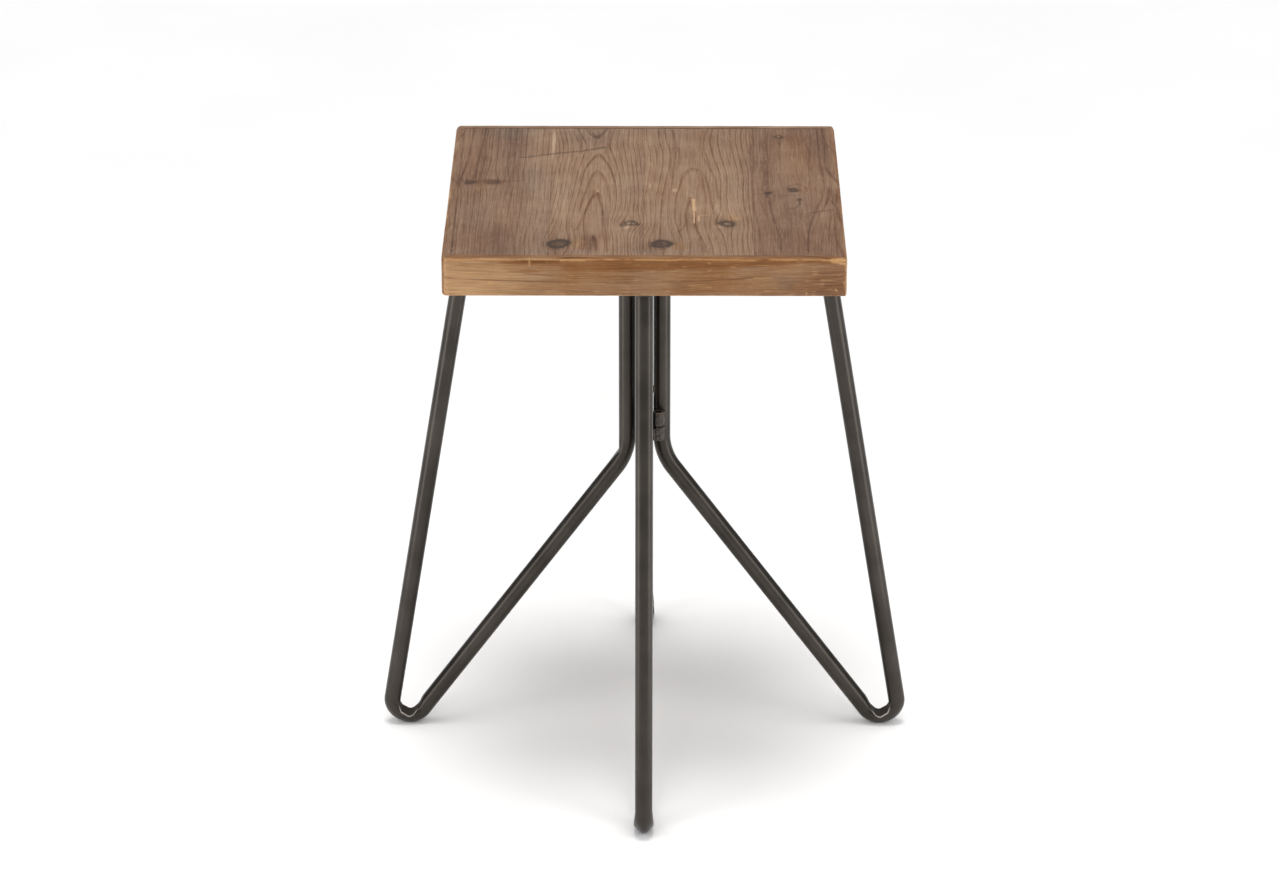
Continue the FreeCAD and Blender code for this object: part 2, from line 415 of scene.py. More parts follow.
def weld_finish():
    """Weld metal under the same paint, brighter on its crests, with a painted highlight along the barrels'
    upper rims.
    """
    finish = Finish("painted_weld")
    crest = finish.noise(700, detail=4)
    height = finish.axis("Z")
    rim_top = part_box("tie_front_right_upper_barrel")[1][2]
    # Painted highlight: a pale band just under the upper barrels' top, patchy with the crests
    rim_highlight = height.ramp(rim_top - 0.0008, rim_top - 0.0001) * crest.ramp(0.35, 0.6)
    colour = finish.blend(crest.ramp(0.35, 0.7), tint(48, 43, 40), tint(88, 81, 75))
    # Painted highlight on the barrels' upper rims
    colour = finish.blend(rim_highlight, colour, tint(186, 178, 166))
    finish.set(Base_Color=colour, Metallic=0.85, Roughness=crest.ramp(0.3, 0.7, 0.46, 0.28))
    finish.set(Normal=finish.bump(crest, 0.5, 0.0006))
    return finish.material


def plated_finish():
    """Zinc plated steel with a faint yellow cloud and fine scratches."""
    finish = Finish("zinc_plate")
    cloud = finish.noise(300)
    scratch = finish.noise((4000, 300, 900), detail=2)
    colour = finish.blend(cloud.ramp(0.3, 0.7), tint(168, 166, 160), tint(196, 188, 168))
    finish.set(Base_Color=colour, Metallic=1.0, Roughness=scratch.ramp(0.3, 0.7, 0.28, 0.45))
    finish.set(Normal=finish.bump(scratch, 0.08, 0.0002))
    return finish.material


def core_finish():
    """Plain planed pine under the planks: straight rings along Y with soft fibre."""
    finish = Finish("core_pine")
    sweep = finish.noise((9, 1.3, 9), detail=2)
    fibre = finish.noise((700, 10, 700))
    across = finish.axis("X")
    turn = (across * 170 + sweep * 7).math("FRACT")
    vein = turn.ramp(0.2, 0.85) * turn.ramp(0.88, 1.0, 1, 0)
    wood = finish.blend(vein, tint(188, 152, 112), tint(158, 118, 80))
    wood = finish.blend(fibre.ramp(0.3, 0.7, 0.3, 0), wood, tint(140, 106, 74))
    finish.set(Base_Color=wood, Roughness=fibre.ramp(0.2, 0.8, 0.55, 0.7))
    finish.set(Normal=finish.bump(fibre, 0.25, 0.0005), Specular_IOR_Level=0.35)
    return finish.material


# Axes across and along the grain, and the finishes, with how many streaks to the metre the pine has
along_x = ((0, 1, 1), (1, 0, 0))
along_y = ((1, 0, 1), (0, 1, 0))
pine_lengthwise = pine_finish("pine_along_y", along_y, 330, 7)
pine_crosswise = pine_finish("pine_along_x", along_x, 520, 12)
bronze = bronze_finish()
weld_metal = weld_finish()
zinc = plated_finish()
core_pine = core_finish()

# Heart of each board: its line across the top, the ring width, the ring number along the board, and the
# ring past which rings crowd together, with how many times closer they stand there
board_hearts = (
    (((-200, -229), (200, -225)), 5.6, ((-200, 5), (200, 5.2)), 30, 1),
    (((-200, -54.5), (-120, -53), (0, -48), (100, -47.8), (200, -51.5)), 3.7,
     ((-200, 4.65), (-150, 4.8), (-133, 5), (-120, 5.08), (-60, 5.4), (-2, 6), (58, 6.97), (111, 8),
      (133, 8.3), (157, 8), (190, 7.2)), 30, 1),
    (((-200, 50), (-20, 47), (70, 50.5), (110, 48.5), (150, 46), (200, 46.8)), 4.9,
     ((-200, 4.5), (-100, 4.74), (-50, 4.87), (-20, 5), (0, 5.2), (50, 5.65), (70, 6), (110, 6.42),
      (150, 6.3), (190, 5.95)), 30, 1),
    (((-200, 145), (0, 150), (200, 150)), 12.5,
     ((-200, 5.9), (-140, 5.78), (-80, 5.55), (-30, 5.3), (50, 5.15), (200, 5.1)), 6, 3),
)

# Knots of the top: place, radius and darkness
knots = (
    (-85, -158.3, 12.7, 1), (17.3, -158.3, 12.1, 1), (-13.7, -98.3, 7.4, 0.9), (82.7, -99.7, 9.2, 0.95),
    (151.7, -0.5, 5.6, 0.95), (157.3, -29.5, 3, 0.9), (125.7, -9.3, 3.7, 1), (-179.3, 22, 6, 0.85),
    (-155.7, 23.3, 8, 0.55), (140.7, 164.5, 5, 0.9), (-21.5, -105, 4.2, 0.75), (-7.8, -100.8, 3, 0.95),
)
# Pale cores in the knots, and places that kept a red warmth or, below 0, silvered: place, half sizes
# across and along, and strength
pale_cores = (
    (-15.8, -98.5, 2.2, 4.2, 0.75), (-10.5, -100, 1.6, 2.6, 0.6), (83.5, -100.5, 3.4, 3.6, 0.55),
    (-85, -158.7, 5, 4, 0.32), (19.5, -156.5, 1.4, 5, 0.3), (152, -1, 1.8, 1.4, 0.35),
    (140.4, 165, 1.7, 3.2, 1),
)
warm_places = (
    (-155, 23.3, 15, 9, 0.35), (-168, 5, 6, 16, 0.25), (-142, 176, 26, 20, -0.4),
    (-115, 30, 12, 50, -0.35), (-60, 170, 30, 30, -0.3), (164, 1, 8, 12, 0.3), (151, 85, 20, 80, 0.2),
    (35, -163, 8, 14, 0.55), (-66, -157, 9, 18, 0.5), (90, -85, 10, 12, 0.4),
)

# Scratches and stains, as segments with a half width and a darkness, and torn light slivers
scratches = (
    ((-128, 98), (-85, 113), 2.6, 0.5), ((-85, 113), (-60, 120), 2.4, 0.5),
    ((-62, 120), (-42, 131), 3, 0.55), ((157.3, -30), (157.5, -44), 0.9, 0.7),
    ((157.5, -44), (153, -54), 0.9, 0.7), ((153, -54), (144, -58), 1, 0.65),
    ((140.7, 160), (141.2, 137), 0.9, 0.4), ((123.6, -7), (125.2, -23), 1.7, 0.6),
    ((-177, -95), (-166, -94.5), 0.9, 0.35), ((-155, 23), (-131, 25), 2.2, 0.3),
    ((168, -68), (190, -59), 1.6, 0.5), ((-190.5, -50), (-190.4, -105), 0.6, 0.6),
    ((-190.4, -105), (-190.3, -150), 0.4, 0.45), ((-190.3, -150), (-190.3, -169), 0.8, 0.85),
    ((-190.5, -175), (-190.4, -178.5), 1.2, 0.9),
)
slivers = (
    ((49.6, -29), (49.8, -62), 2.1, 1), ((49.8, -62), (50, -98), 1.1, 0.95),
    ((55, -78), (54.6, -92), 1.3, 0.8), ((56, -76.5), (66, -74.5), 0.7, 0.5),
    ((-48.5, 1), (-47.8, -6), 1, 0.6),
)
# Pale and dark patches: place, half sizes across and along, and lightness
patches = (
    (-18.5, -108, 4.5, 8, 0.9), (-12.5, -98.5, 3, 3.5, 0.8), (75, -109, 4, 6, 0.7),
    (81.2, -100, 2.2, 3, 1), (-95.7, 140, 1.6, 52, 2), (153.5, -10, 6, 3.4, 0.3),
    (151, 85, 20, 80, 0.12), (5.2, 11, 1.6, 8, 0.8), (7.6, -8, 1.1, 9, 0.6), (30.5, -2, 2.4, 5.5, 1),
    (73.5, -50, 2.4, 12, 0.6), (76, -70, 1.6, 10, 0.6), (93, -86, 3, 6, 0.5), (-26.5, -114, 3, 7, 0.2),
    (140.3, 165.2, 1.6, 3, 0.5), (-50, 160, 6, 20, -0.5), (-53.5, -158, 7.5, 24, -0.75),
    (-165, 20, 26, 12, -0.2), (-154, 23.3, 10, 7, -0.45), (-150, 150, 18, 30, -0.1),
    (-169, 100, 5, 90, -0.35), (-138, 60, 9, 120, -0.3), (-145, -150, 20, 40, -0.25),
    (84, -125, 12, 60, -0.25), (0, -172, 22, 16, -0.28), (114.5, 30, 5.5, 190, 0.24),
    (104, 30, 5, 190, -0.15), (-183, -170, 12, 20, 0.28), (-183, 160, 12, 35, 0.22),
)

# Growth lines that stand out: points (y, x) along each line, half width and strength
growth_lines = (
    (((196, 186.8), (150, 188), (80, 187.6), (60, 188.7), (45, 192), (30, 196), (18, 198.5)), 1.1, 1),
    (((142, 189), (135, 192.5), (125, 195), (113, 197.5)), 1.1, 0.7),
    (((196, 181.5), (100, 181.5), (70, 182.2), (40, 183.2), (10, 183.6), (-10, 182.2), (-25, 180.5),
      (-40, 177.8), (-52, 174.5), (-70, 172.2), (-85, 169.5), (-100, 167.2), (-120, 164.8),
      (-140, 163.2), (-165, 162.2), (-184, 162.8)), 0.8, 0.9),
    (((12, 188.5), (-5, 188.5), (-15, 188), (-30, 186.5), (-45, 183.5), (-66, 180.3)), 1.2, 0.9),
    (((-55, 188), (-65, 188.5), (-90, 187), (-120, 184.5), (-155, 184)), 1, 0.5),
    (((-30, 189.5), (-42, 192), (-55, 195), (-75, 196.5), (-95, 197.5)), 0.9, 0.7),
    (((-30, 125.5), (-45, 127.5), (-65, 128), (-85, 130), (-103, 131.5), (-122, 134), (-140, 135.5),
      (-185, 135.2)), 0.8, 0.8),
    (((-103, 135), (-118, 137), (-132, 139)), 0.7, 0.5),
    (((194, 114), (150, 113), (100, 112.5), (50, 111.5), (10, 111), (-60, 112), (-110, 114),
      (-186, 115.5)), 0.9, 0.6),
    (((194, 127), (130, 127.5), (100, 127.5), (70, 126.5), (40, 126), (0, 125)), 1.1, 0.5),
    (((190, 174.5), (150, 173.5), (110, 172), (85, 171.5)), 0.9, 0.4),
    (((190, 165), (150, 165), (130, 163.5)), 0.9, 0.35),
    (((150, 141.2), (120, 140.6), (92, 140.5)), 1.2, 0.4),
    (((192, 27), (175, 29), (150, 31), (110, 32), (70, 30.5), (30, 28.5)), 1, 0.75),
    (((192, 67), (170, 63), (145, 61), (120, 62), (90, 65.5), (60, 69), (30, 73), (0, 74.5),
      (-30, 76)), 1, 0.75),
    (((68, 48), (60, 43), (50, 39.5), (20, 36.5), (0, 35.5)), 0.9, 0.6),
    (((68, 53), (60, 57), (40, 62), (20, 64), (0, 66), (-30, 67), (-55, 69), (-75, 71)), 0.9, 0.8),
    (((-30, 46.5), (-50, 44), (-80, 42), (-105, 41), (-120, 36.5), (-129, 31)), 0.9, 0.7),
    (((-70, 52), (-100, 51), (-120, 52.5), (-140, 57), (-160, 60.2), (-186, 61.2)), 0.9, 0.9),
    (((192, -60.5), (175, -55), (160, -50.8)), 0.9, 0.6),
    (((192, -40.5), (175, -45), (160, -50)), 0.9, 0.6),
    (((192, -71), (160, -68), (130, -66.5), (105, -68)), 0.9, 0.6),
    (((192, -37), (160, -38), (135, -39), (115, -39.5), (95, -37.5), (70, -34.5)), 1.2, 0.7),
    (((112, -48.5), (95, -53), (60, -62.5), (20, -67)), 0.9, 0.7),
    (((112, -47.5), (90, -42), (60, -35), (20, -30)), 0.9, 0.7),
    (((60, -49), (45, -53), (20, -56.5), (-5, -59), (-30, -62), (-60, -65.5)), 0.8, 0.6),
    (((60, -47.5), (45, -44), (20, -40), (-10, -37), (-40, -35)), 0.8, 0.6),
    (((0, -51), (-20, -53), (-50, -57), (-80, -62), (-110, -66), (-122, -69)), 1.1, 0.75),
    (((0, -48.5), (-20, -47), (-50, -43.5), (-80, -41.2), (-110, -40), (-140, -38),
      (-184, -36.2)), 0.9, 0.75),
    (((-133, -61), (-150, -61.5), (-182, -62.5)), 0.8, 0.7),
    (((-130, -53), (-140, -50.5), (-155, -48.5), (-182, -47.5)), 0.9, 0.8),
    (((192, -180.8), (150, -181.5), (120, -182.7), (95, -183.2), (70, -184.5), (50, -187), (38, -188.5),
      (20, -188.7)), 0.9, 0.85),
    (((192, -168.5), (150, -169.2), (130, -170.5), (100, -172.2), (70, -173.5), (45, -174.5),
      (30, -176)), 0.9, 0.75),
    (((192, -123.5), (150, -124.2), (110, -123.8), (70, -122.5)), 0.6, 0.6),
    (((192, -133.5), (165, -134.5)), 0.8, 0.6),
    (((192, -143), (150, -142), (136, -141.5)), 1.2, 0.5),
    (((2, -172.5), (-10, -170.3), (-20, -169.6)), 1, 0.5),
    (((4, -164.5), (-8, -168), (-18, -169.4)), 0.9, 0.5),
)
# Lines curled round the largest knot of the fourth plank, as segments with a half width and a strength
curls = (
    ((145.5, 4), (148.5, 12), 1.1, 0.6), ((148.5, 12), (154.5, 17.5), 1.1, 0.7),
    ((154.5, 17.5), (161, 15), 1.1, 0.7), ((161, 15), (165, 5), 1.2, 0.7),
    ((165, 5), (166.5, -6), 1.2, 0.5), ((173.5, 8), (174, -6), 1.1, 0.5),
)

# Each plank's lightness, how grey it has gone, how strongly rings show and the least share of a ring that
# is dark, and the lighter band along the first plank
board_looks = ((-0.34, 0.96, 0.55, 0.3), (0.06, 0.86, 0.82, 0.38), (0.08, 0.86, 0.82, 0.35),
               (-0.36, 0.92, 0.42, 0.05))
light_band_tone = 0.42
light_band_fade = 1.6
# Width of the dark line that ends a ring, how much a growth line darkens, and the reach of a seam's dip and
# of its dark edge
ring_line_width = 0.0021
line_tone = 0.75
seam_dip_width = 0.0006
seam_dark_width = 0.0005


def bell(value, width):
    """A bell of height 1: exp(-(value / width) squared)."""
    return np.exp(-(value / width) ** 2)


def dabs(x, y, places):
    """Sum of dabs: each is even over its half sizes and falls off softly, as exp(-reach cubed)."""
    total = np.zeros_like(x)
    for dab_x, dab_y, half_x, half_y, strength in places:
        reach = ((x / mm - dab_x) / half_x) ** 2 + ((y / mm - dab_y) / half_y) ** 2
        total += strength * np.exp(-reach ** 1.5)
    return total


def board_figure(x, y, heart):
    """Ring number on a board's face, as the hyperbola sqrt(heart ring squared + offset squared).

    The offset is counted in ring widths from the heart's line, and bent round the knots.
    """
    line, width, rings, crowd_start, crowding = heart
    bent = x / mm
    for knot_x, knot_y, radius, _ in knots:
        across, along = x / mm - knot_x, y / mm - knot_y
        bent -= 0.8 * across * bell(np.hypot(across, along / 2), 1.9 * radius)
    wander = 1.2 * (noise(y, x, 0.06, 1, 5) - 0.5)
    offset = (bent - eased_curve(line, y / mm) - wander) / width
    ring = np.hypot(eased_curve(rings, y / mm), offset)
    ring += (crowding - 1) * np.maximum(ring - crowd_start, 0)
    ring += 0.24 * (noise(x, y, 0.02, 0.16, 17) - 0.5)
    ring += 0.06 * (noise(x, y, 0.005, 0.05, 23) - 0.5)
    return ring


def knot_fields(x, y):
    """Darkness of the knots and their rims, from the distance to each knot's wobbling outline."""
    stain, rim = np.zeros_like(x), np.zeros_like(x)
    for number, (knot_x, knot_y, radius, dark) in enumerate(knots):
        across, along = x / mm - knot_x, y / mm - knot_y
        angle = np.arctan2(along, across)
        wobble = 1 + 0.08 * np.sin(2 * angle + number) + 0.05 * np.sin(3 * angle + 2 * number)
        wobble += 0.22 * (noise(x, y, 0.0021, 0.0021, 90 + number) - 0.5)
        reach = np.hypot(across, along / 1.12) / (radius * wobble)
        inner = 0.93 + 0.07 * np.sin(reach * 11 + number)
        stain = np.maximum(stain, dark * inner * (1 - ease(0.86, 1.08, reach)))
        rim = np.maximum(rim, dark * bell(reach - 1.12, 0.13))
        stain = np.maximum(stain, 0.22 * dark * bell(reach, 1.9))
    stain *= 1 - np.clip(dabs(x, y, pale_cores), 0, 0.8)
    return stain, rim


def marks(x, y, segments):
    """Strength of marks: full on each segment, fading out over its ragged half width."""
    strength = np.zeros_like(x)
    for start, end, half, full in segments:
        ragged = half * (0.6 + 0.8 * noise(x, y, 0.002, 0.006, 31))
        away = segment_distance(x / mm, y / mm, start, end) / ragged
        strength = np.maximum(strength, full * (1 - ease(0.4, 1.3, away)))
    return strength


def drawn_lines(x, y):
    """Strength of the growth lines: a bell across each line, wider on its left, faded out at its ends."""
    strength = np.zeros_like(x)
    across, along = x / mm, y / mm
    for points, half, full in growth_lines:
        offset = (across - eased_curve(points, along)) / half
        offset = np.where(offset < 0, offset / 1.7, offset)
        first, last = sorted((points[0][0], points[-1][0]))
        fade = ease(first - 4, first + 8, along) * ease(last + 4, last - 8, along)
        strength = np.maximum(strength, full * fade * bell(offset, 1))
    return strength


def board(number, heart):
    """A plank: its top is a fine grid that sinks along rings, knots, scratches and seams."""
    node = f"top_plank_{number}"
    lightness, greyness, strength, least_late = board_looks[number - 1]
    low, high = (np.array(corner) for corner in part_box(node))
    x_line = np.linspace(low[0], high[0], board_columns)
    y_line = np.linspace(low[1], high[1], board_rows)
    x, y = np.meshgrid(x_line, y_line)
    ring = board_figure(x, y, heart)
    stain, rim = knot_fields(x, y)
    scratch, sliver = marks(x, y, scratches), marks(x, y, slivers)
    drawn = np.maximum(drawn_lines(x, y), marks(x, y, curls))
    slope = np.abs(np.gradient(ring, x_line, axis=1))
    late = np.clip(ring_line_width * slope, least_late, 0.5)
    vein = ease(1 - late, 1 - 0.2 * late, ring % 1) * ease(1, 1 - 0.15 * late, ring % 1)
    seam = np.minimum(np.minimum(x - low[0], high[0] - x), np.minimum(y - low[1], high[1] - y))
    sink = 0.18 * (1 - vein) + 0.3 * noise(x, y, 0.05, 0.12, 40 + number) + 0.25 * stain
    sink += 0.2 * drawn + 0.3 * rim + 0.3 * scratch + 0.5 * sliver + 0.35 * np.exp(-seam / seam_dip_width)
    top = np.stack([x, y, high[2] - mm * sink], -1)
    under = [np.stack([0 * y_line + side, y_line, 0 * y_line + low[2]], -1) for side in (high[0], low[0])]
    loops = np.concatenate([top, np.stack(under, 1)], axis=1)
    middle = ease(-0.15, -0.06, y) * (1 - ease(0.06, 0.14, y))
    tone = lightness + 0.2 * middle
    tone += 0.35 * (noise(x, y, 0.03, 0.16, 60 + number) - 0.5)
    tone += light_band_tone * (1 - light_band_fade * y) * ease(-0.13, -0.112, x) * (number == 1)
    tone += dabs(x, y, patches) - 0.3 * rim - line_tone * drawn
    stain = np.maximum(stain, scratch)
    stain = np.maximum(stain, 0.25 * np.exp(-seam / seam_dark_width))
    weather = greyness - 0.12 + 0.24 * noise(x, y, 0.02, 0.08, 80 + number)
    weather += 0.22 * ease(0.165, 0.188, np.abs(y)) * noise(x, y, 0.02, 0.05, 85)
    weather -= dabs(x, y, warm_places)
    figure = strength * (0.7 + 0.3 * ease(10, 110, slope))
    fields = {"ring": ring, "late": late, "figure": figure, "stain": stain, "bare": sliver, "tone": tone,
              "weather": weather}
    fields = {key: np.pad(values, ((0, 0), (0, 2)), mode="edge") for key, values in fields.items()}
    skin(f"board_{number}", loops, pine_lengthwise, [node], fields)


# Edging: the rounding of the corner at each side's end, counted anticlockwise, and the arrises
corner_rounds = {"right": 0.01, "back": 0.012, "left": 0.009, "front": 0.005}
upper_arris = 0.002
lower_arris = 0.0015
# Points of its section: on top, round the upper arris, down the face, round the lower arris, underneath
section_points = (14, 9, 56, 7, 8)
# Grain sweep of each side's edging: depth below the top along the side, seen from outside
grain_sweeps = {
    "front": ((-200, 20.6), (-150, 23.1), (-50, 25.6), (35, 24.4), (100, 21.2), (200, 13.7)),
    "back": ((-200, 11), (-80, 18), (30, 21.5), (120, 19), (200, 22.5)),
    "left": ((-200, 26), (-60, 20.5), (50, 23.5), (200, 18)),
    "right": ((-200, 15), (-90, 21.5), (60, 19.5), (200, 26)),
}
# Rings to the metre, the ring number on the sweep, their dark share, and the crack along the sweep
sweep_rings = 150
sweep_first_ring = 9.92
edge_late_share = 0.3
crack_width = 0.0005
# Each side's lighter stretch and the start of its red heartwood, as places along the side, the wear of its
# arris, and the lightness and the greyness of its top
edge_looks = {
    "front": (-0.2, -0.088, 0.19, -0.45, 0.25),
    "back": (0.2, -0.16, -0.1, 0.15, 0.85),
    "left": (0.05, 0.08, -0.34, -0.3, 0.85),
    "right": (-0.2, -0.02, -0.25, -0.22, 0.8),
}
light_length = 0.095
red_band_depth = 0.0138
# Reach of the wear round the upper and the lower arris, and the bare line along the upper one
arris_zone_width = 0.0019
low_zone_width = 0.0016
arris_line_drop = 0.0012
arris_line_width = 0.0015
# Chips of two sides, as segments along the side and away from the arris, with half width and strength, and
# how many times sooner the front's end on the top than on the face
front_chip_haste = 4
front_chips = (
    ((-198, 1.6), (-172, 1.8), 0.9, 0.6), ((-150, 1.8), (-128, 2), 0.6, 0.5),
    ((-113, 3), (-112.8, 8.2), 0.7, 0.7), ((-82, 1.8), (-58, 2), 1.4, 0.75),
    ((12, 2.2), (32, 2.4), 0.7, 0.6), ((94, 2.2), (110, 2.4), 0.7, 0.6),
    ((176, 0.8), (198, 2.2), 1.9, 1), ((186, 3), (198.5, 6), 1.7, 0.9),
    ((189, 32.5), (190, 34.2), 0.9, 0.9), ((160, 36.2), (160.5, 37.6), 0.7, 0.7),
    ((197.2, 24.5), (197.8, 31.5), 0.6, 0.7), ((108, 20.8), (126, 20.6), 1, 0.45),
)
left_chips = (
    ((8, 1.2), (28, 1), 2.1, 0.45), ((74, 0.8), (80, 1), 1, 0.7), ((-94, 0.8), (-88, 1), 1, 0.5),
    ((-160, 0.8), (-152, 0.9), 1, 0.5),
)
# Burnt places on the front edging: centre along the side and down the face, half sizes and strength
front_burns = (
    (-114, 3.6, 30, 1.8, 1.8), (150, 3.6, 34, 1.4, 0.8), (-98, 6.2, 34, 3, 0.45),
    (-117, 13.8, 16, 1.8, 0.6),
)


def edging_section():
    """Section of the edging as (depth from the outer face, drop from the top), from the inner top round."""
    on_top, upper, down, lower, below = section_points
    top_run = np.linspace(edging_thickness, upper_arris, on_top)[:-1]
    arc = np.linspace(0, np.pi / 2, upper)
    side_run = np.linspace(upper_arris, slab_thickness - lower_arris, down)[1:-1]
    low_arc = np.linspace(0, np.pi / 2, lower)
    low_run = np.linspace(lower_arris, edging_thickness, below)[1:]
    depth = np.concatenate([top_run, upper_arris * (1 - np.sin(arc)), 0 * side_run,
                            lower_arris * (1 - np.cos(low_arc)), low_run])
    drop = np.concatenate([0 * top_run, upper_arris * (1 - np.cos(arc)), side_run,
                           slab_thickness - lower_arris * (1 - np.sin(low_arc)),
                           slab_thickness + 0 * low_run])
    return depth, drop


def round_corners(name, along, sideways, half_length, reach):
    """Points of an edging drawn in to the circle that rounds the corner at each of its ends."""
    before = list(bearings)[list(bearings).index(name) - 1]
    corner_round = np.where(along > 0, corner_rounds[name], corner_rounds[before])
    corner = np.stack([np.abs(along) - half_length, sideways - reach], -1) + corner_round[..., None]
    inside = np.maximum(corner, 0)
    length = np.hypot(inside[..., 0], inside[..., 1])
    pull = np.minimum(1, corner_round / np.maximum(length, corner_round))[..., None]
    rounded = np.where((corner > 0).all(-1, keepdims=True), inside * pull - inside, 0)
    return np.sign(along) * (np.abs(along) + rounded[..., 0]), sideways + rounded[..., 1]


def edging(name, bearing):
    """One side's edging: its section carried along the side, mitred at the ends, worn and chipped."""
    seed = bearing + 3
    light_end, heart_start, arris_wear, lightness, greyness = edge_looks[name]
    lengthwise = name in ("left", "right")
    reach, half_length = (half_width, half_depth) if lengthwise else (half_depth, half_width)
    depth, drop = edging_section()
    even = np.linspace(-1, 1, edging_rows)[:, None]
    share = 0.5 * even + 0.5 * np.sin(even * np.pi / 2)
    along = share * (half_length - depth)
    depth, drop = np.broadcast_to(depth, along.shape), np.broadcast_to(drop, along.shape)

    def side_noise(cell, step):
        return noise(along, 0 * along, cell, 1, seed + step)

    def face_noise(cell_along, cell_down, step):
        return noise(along, drop, cell_along, cell_down, seed + step)

    on_face = ease(upper_arris * 1.4, 0, depth)
    wear_and_painted_glint = 0.6 * side_noise(0.011, 0) + 0.4 * side_noise(0.003, 1)
    notch = ease(0.66, 0.88, side_noise(0.019, 2))
    arris_zone = bell(np.hypot(depth, drop), arris_zone_width)
    bare_zone = bell(np.hypot(depth, drop - arris_line_drop), arris_line_width)
    low_zone = bell(np.hypot(depth, slab_thickness - drop), low_zone_width)
    fibre = noise(along, drop + depth, 0.03, 0.0012, seed + 4)
    sweep = mm * eased_curve(grain_sweeps[name], along / mm)
    ring = (drop + depth * 0.4 - sweep) * sweep_rings + sweep_first_ring
    ring += 0.9 * (face_noise(0.07, 0.008, 5) - 0.5)
    crack = bell(drop - sweep, crack_width) * on_face
    crack *= ease(0.15, 0.5, side_noise(0.03, 6))
    haste = front_chip_haste if name == "front" else 1
    places = {"front": front_chips, "left": left_chips}.get(name, ())
    chips = marks(along, drop + haste * depth, places)
    ground = turned(np.stack([reach - depth, along, drop], -1), bearing)
    drawn = drawn_lines(ground[..., 0], ground[..., 1])
    burns = dabs(along, drop, front_burns if name == "front" else ())
    burns *= ease(0.1, 0.6, face_noise(0.045, 0.0022, 10))
    band = sweep - red_band_depth - drop
    rim = bell(band - 0.0005, 0.0012)
    heart = ease(0, 0.02, along - heart_start) * on_face
    red = np.maximum(ease(-0.0035, 0.0016, band) * heart, burns * on_face)
    light = bell(along - light_end, light_length)
    light *= 0.65 + 0.35 * ease(0.003, 0.012, drop)
    dull_end = ease(0.1, 0.2, along * np.sign(-light_end)) * ease(0.01, 0.026, drop)
    patch = face_noise(0.035, 0.01, 7) - 0.5
    tone = 1.02 * light - 0.16 - 0.44 * red - 0.25 * burns - 0.24 * rim * heart + 0.35 * patch
    tone = on_face * (tone - 0.62 * dull_end) - 0.5 * crack
    tone += (1 - on_face) * (0.4 * patch + lightness - line_tone * drawn)
    weather = on_face * (0.2 - 0.2 * light - 0.45 * red + 0.5 * patch)
    weather += greyness * (1 - on_face)
    line = ease(0.3, 0.62, bare_zone * (arris_wear + 0.75 * wear_and_painted_glint + 0.45 * notch))
    bare = np.maximum(0.55 * line, 0.4 * ease(0.45, 0.8, low_zone * (0.4 + wear_and_painted_glint)))
    scuff = ease(0.82, 0.93, face_noise(0.008, 0.0012, 8)) * on_face
    bare = np.maximum(np.maximum(bare, 0.3 * scuff), chips)
    smudge = ease(0.78, 0.95, face_noise(0.035, 0.005, 9)) * on_face
    stain = np.maximum(0.32 * crack, 0.22 * smudge * (1 - red))
    seam = np.exp(-(edging_thickness - depth) / seam_dark_width) * (drop < upper_arris)
    stain = np.maximum(stain, 0.2 * seam)
    sink = arris_zone * (0.2 + 0.5 * wear_and_painted_glint + 0.6 * notch) + 0.5 * low_zone * wear_and_painted_glint
    sink = mm * (sink + on_face * (0.16 * fibre + 0.4 * crack) + 0.5 * chips)
    height = np.clip(top_height - drop - sink * arris_zone, underside, top_height)
    ends, sideways = round_corners(name, along, reach - depth - sink * on_face, half_length, reach)
    loops = turned(np.stack([sideways, ends, height], -1), bearing)
    finish = pine_lengthwise if lengthwise else pine_crosswise
    fields = {"ring": ring, "late": np.full_like(ring, edge_late_share), "figure": 0.6 - 0.3 * on_face,
              "stain": stain, "bare": bare, "tone": tone, "weather": weather, "red": np.clip(red, 0, 1)}
    skin(f"edging_{name}", loops, finish, [f"edge_strip_{name}"], fields)


# Welds: ripple length and height, the beads of a tie and the rings round the tubes' upper ends
weld_ripple = 0.0017
weld_ripple_share = 0.16
ring_weld_radius = 0.0019
ring_weld_ripples = 30
ring_weld_rise = 0.0005
tie_weld_radius = 0.0026
tack_weld_radius = 0.0017
tack_weld_height = 0.388
tack_weld_length = 0.008
# Place of the weld on each of a tie's barrels, in column radii, and the share of the barrel's height that
# it leaves free at each end
tie_weld_places = {"lower": (0.5, -1.035), "upper": (1.035, -0.5)}
tie_weld_margin = 0.1


def tangent_point(centre, bend, outside, side):
    """Where a straight from a point outside touches a bend's circle, and the angle of that point."""
    away = outside - centre
    angle = np.arctan2(away[1], away[0]) + side * np.arccos(bend / np.hypot(*away))
    return centre + bend * np.array([np.cos(angle), np.sin(angle)]), angle


